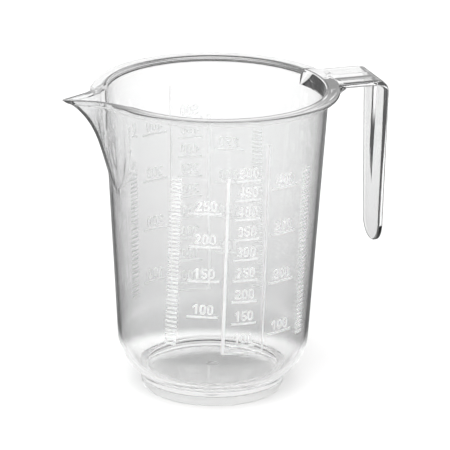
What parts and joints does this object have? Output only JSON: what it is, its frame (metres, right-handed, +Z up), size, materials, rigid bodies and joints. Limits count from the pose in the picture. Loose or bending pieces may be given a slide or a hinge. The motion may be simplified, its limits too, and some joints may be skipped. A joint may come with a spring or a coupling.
{
  "type": "measuring jug",
  "caption": "Clear plastic measuring jug with a tapered round wall, foot ring, pointed pouring lip, hanging one-sided handle and raised volume and weight scales.",
  "frame": {"origin": "middle of the foot's underside, on the axis of the round wall", "axes": "+Z up along the wall's axis, +X towards the handle, the pouring lip on -X, the front scales on -Y"},
  "size_m": [0.139, 0.103, 0.131],
  "materials": {
    "clear_plastic": "clear, uncoloured moulded plastic, polished",
    "raised_marks": "clear moulded plastic, slightly frosted raised marks"
  },
  "bodies": {
    "root": {"foot_ring": "clear_plastic", "floor_plate": "clear_plastic", "gate_ring": "clear_plastic", "lower_curve": "clear_plastic", "side_wall": "clear_plastic", "rim_flange": "clear_plastic", "lip_toe": "clear_plastic", "lip_flanks": "clear_plastic", "handle_root": "clear_plastic", "handle_arm": "clear_plastic", "handle_bend": "clear_plastic", "handle_grip": "clear_plastic", "handle_rib": "clear_plastic", "volume_marks_front": "raised_marks", "volume_marks_back": "raised_marks", "volume_numbers_front": "raised_marks", "volume_numbers_back": "raised_marks", "flour_scale_front": "raised_marks", "flour_scale_back": "raised_marks", "sugar_scale_front": "raised_marks", "sugar_scale_back": "raised_marks", "ladder_front": "raised_marks", "ladder_back": "raised_marks"}
  },
  "joints": []
}
